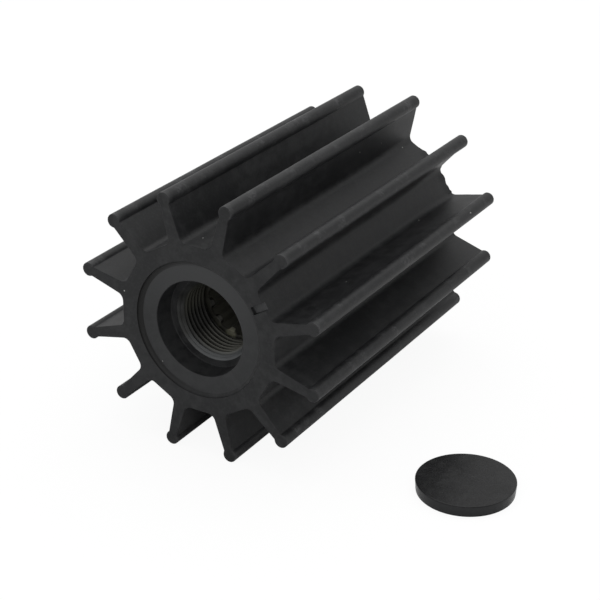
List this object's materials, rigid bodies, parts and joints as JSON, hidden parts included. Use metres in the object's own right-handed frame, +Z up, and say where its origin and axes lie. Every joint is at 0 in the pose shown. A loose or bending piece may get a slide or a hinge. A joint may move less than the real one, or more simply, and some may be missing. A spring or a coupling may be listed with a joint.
{
  "type": "flexible pump impeller",
  "caption": "Rubber pump impeller with straight bead-tipped blades on a splined, threaded metal insert, and the round plug that closes its hub.",
  "frame": {"origin": "on the shaft axis, at the mouth of the plug's seat in the hub's front end", "axes": "+Y runs along the shaft axis from the threaded front end to the splined rear end, +Z is up, and the impeller lies on two blade tips with the plug beside it on +X"},
  "size_m": [0.1214, 0.1038, 0.0748],
  "materials": {
    "body_rubber": "matte",
    "insert_metal": "machined",
    "plug_rubber": "matte"
  },
  "bodies": {
    "root": {"rubber_body": "body_rubber", "drive_insert": "insert_metal", "end_plug": "plug_rubber"}
  },
  "joints": []
}
